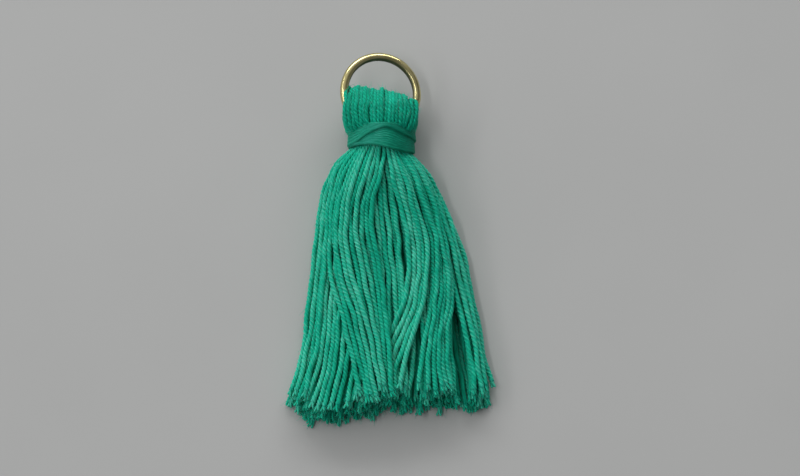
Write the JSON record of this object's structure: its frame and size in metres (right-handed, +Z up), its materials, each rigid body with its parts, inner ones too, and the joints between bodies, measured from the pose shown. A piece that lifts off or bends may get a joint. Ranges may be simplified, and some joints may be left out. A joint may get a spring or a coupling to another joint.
{
  "type": "thread tassel",
  "caption": "Small tassel of twisted thread folded over a wire jump ring, bound at the neck, with a cut skirt, lying on its back.",
  "frame": {"origin": "middle of the footprint on the table under the tassel", "axes": "+Z up from the table, +Y along the tassel from the cut hem to the ring, +X to the right seen from above with the ring away from the viewer"},
  "size_m": [0.0194, 0.0352, 0.006],
  "materials": {
    "thread": "matte twisted cotton thread, sea green",
    "binding_thread": "matte cotton thread wound tight, darker sea green",
    "ring": "polished gold-coloured plating"
  },
  "bodies": {
    "root": {"tassel": "thread", "neck_binding": "binding_thread", "ring": "ring"}
  },
  "joints": []
}
